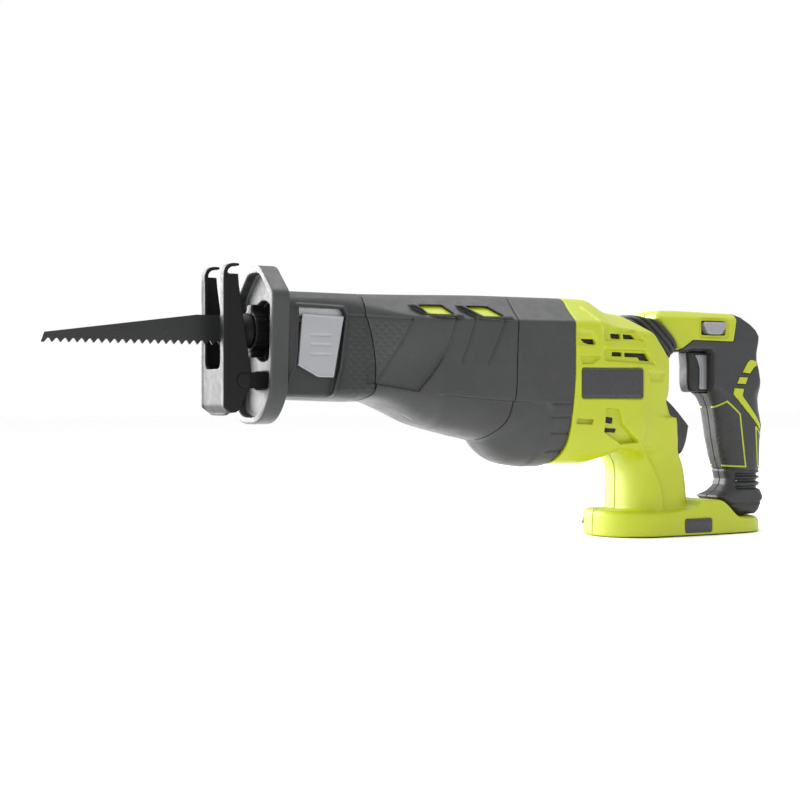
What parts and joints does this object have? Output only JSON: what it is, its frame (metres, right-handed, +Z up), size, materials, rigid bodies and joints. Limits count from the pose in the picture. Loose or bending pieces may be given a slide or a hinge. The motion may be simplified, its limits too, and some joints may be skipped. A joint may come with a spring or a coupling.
{
  "type": "reciprocating saw",
  "caption": "Cordless reciprocating saw with a D-handle, rubber-covered gear case, pivoting shoe, keyless blade clamp and a battery socket in its base.",
  "frame": {"origin": "centre of the battery socket's mouth, on the underside of the base", "axes": "+X to the rear of the tool, the blade pointing along -X; +Z up; +Y to the tool's right-hand side"},
  "size_m": [0.5452, 0.0772, 0.1815],
  "materials": {
    "lime_plastic": "satin moulded",
    "dark_overmould": "fine-grained matte",
    "black_steel": "black coated",
    "blade_steel": "black coated, ground teeth",
    "polished_steel": "ground",
    "case_alloy": "as cast",
    "bearing_bronze": "sintered",
    "copper": "enamelled",
    "magnet": "ferrite",
    "black_plastic": "moulded",
    "silver_plastic": "satin painted",
    "trigger_plastic": "satin moulded",
    "bellows_rubber": "smooth matte",
    "badge": "satin",
    "zinc_steel": "zinc plated",
    "lead_sheath": "insulated"
  },
  "bodies": {
    "frame": {"shoe_post": "black_steel", "shoe_rivet": "zinc_steel", "nose_guard": "dark_overmould", "neck_boot": "dark_overmould", "gear_boot": "dark_overmould", "shoulder_windows": "lime_plastic", "mid_boot": "dark_overmould", "gear_case_left": "case_alloy", "gear_case_right": "case_alloy", "gear_case_screws": "zinc_steel", "plunger_seal": "bellows_rubber", "front_bushing": "bearing_bronze", "rear_bushing": "bearing_bronze", "crank_bearings": "polished_steel", "motor_can": "zinc_steel", "motor_flange": "zinc_steel", "motor_end_cap": "black_plastic", "motor_bearings": "polished_steel", "magnets": "magnet", "brushes": "magnet", "housing_left": "lime_plastic", "housing_right": "lime_plastic", "housing_screws": "zinc_steel", "terminal_block": "black_plastic", "battery_contacts": "bearing_bronze", "motor_leads": "lead_sheath", "side_badges": "badge", "base_badges": "badge", "rear_pad": "dark_overmould", "bellows": "bellows_rubber", "lever_pin": "polished_steel"},
    "plunger": {"plunger_rod": "polished_steel", "clamp_pin": "polished_steel", "blade": "blade_steel", "clamp_spring": "black_steel"},
    "collar": {"clamp_collar": "black_steel"},
    "crank": {"crank_gear": "polished_steel", "crank_shaft": "polished_steel", "crank_pin": "polished_steel", "balance_weight": "polished_steel"},
    "roller": {"crank_roller": "polished_steel"},
    "rotor": {"motor_shaft": "polished_steel", "pinion": "polished_steel", "armature": "polished_steel", "windings": "copper", "commutator": "copper", "fan": "black_plastic"},
    "shoe": {"shoe": "black_steel"},
    "lever": {"release_lever": "silver_plastic"},
    "handle": {"handle_left": "lime_plastic", "handle_right": "lime_plastic", "grip_left": "dark_overmould", "grip_right": "dark_overmould", "handle_screws": "zinc_steel", "foot_pin": "polished_steel", "switch_body": "black_plastic", "trigger_spring": "zinc_steel"},
    "trigger": {"trigger": "trigger_plastic", "trigger_cheeks": "silver_plastic"},
    "lock": {"lock_button": "silver_plastic"}
  },
  "joints": [
    {"name": "crank_turn", "type": "hinge", "parent": "frame", "child": "crank", "pos_m": [-0.188, 0, 0.12], "axis": [0, 0, 1], "range_deg": [-142.5, 37.5]},
    {"name": "plunger_stroke", "type": "slide", "parent": "frame", "child": "plunger", "axis": [1, 0, 0], "range_m": [-0.01742, 0.00459]},
    {"name": "rotor_spin", "type": "hinge", "parent": "frame", "child": "rotor", "pos_m": [-0.1, 0, 0.112], "axis": [-1, 0, 0], "range_deg": [-575, 155]},
    {"name": "roller_spin", "type": "hinge", "parent": "crank", "child": "roller", "pos_m": [-0.17927, -0.0067, 0.137], "axis": [0, 0, 1], "continuous": true},
    {"name": "shoe_tilt", "type": "hinge", "parent": "frame", "child": "shoe", "pos_m": [-0.317, 0, 0.1087], "axis": [0, 1, 0], "range_deg": [-15, 8]},
    {"name": "lever_swing", "type": "hinge", "parent": "frame", "child": "lever", "pos_m": [-0.267, -0.026, 0.148], "axis": [-1, 0, 0], "range_deg": [0, 60], "stiffness_Nm_per_rad": 0.05, "springref_deg": -17.19},
    {"name": "collar_twist", "type": "hinge", "parent": "plunger", "child": "collar", "pos_m": [-0.301, 0, 0.14], "axis": [1, 0, 0], "range_deg": [0, 45]},
    {"name": "handle_flex", "type": "hinge", "parent": "frame", "child": "handle", "pos_m": [0.086, 0, 0.018], "axis": [0, 1, 0], "range_deg": [-0.8, 0.8], "stiffness_Nm_per_rad": 400},
    {"name": "trigger_pull", "type": "slide", "parent": "handle", "child": "trigger", "axis": [1, 0, 0], "range_m": [0, 0.007], "stiffness_N_per_m": 600, "springref_m": -0.003},
    {"name": "lock_push", "type": "slide", "parent": "handle", "child": "lock", "axis": [0, 1, 0], "range_m": [0, 0.003], "stiffness_N_per_m": 400, "springref_m": -0.002}
  ],
  "couplings": [
    {"joint": "plunger_stroke", "follows": "crank_turn", "m_per_rad": 0.0070028},
    {"joint": "rotor_spin", "follows": "crank_turn", "ratio": 4},
    {"joint": "collar_twist", "follows": "lever_swing", "ratio": 0.75}
  ]
}
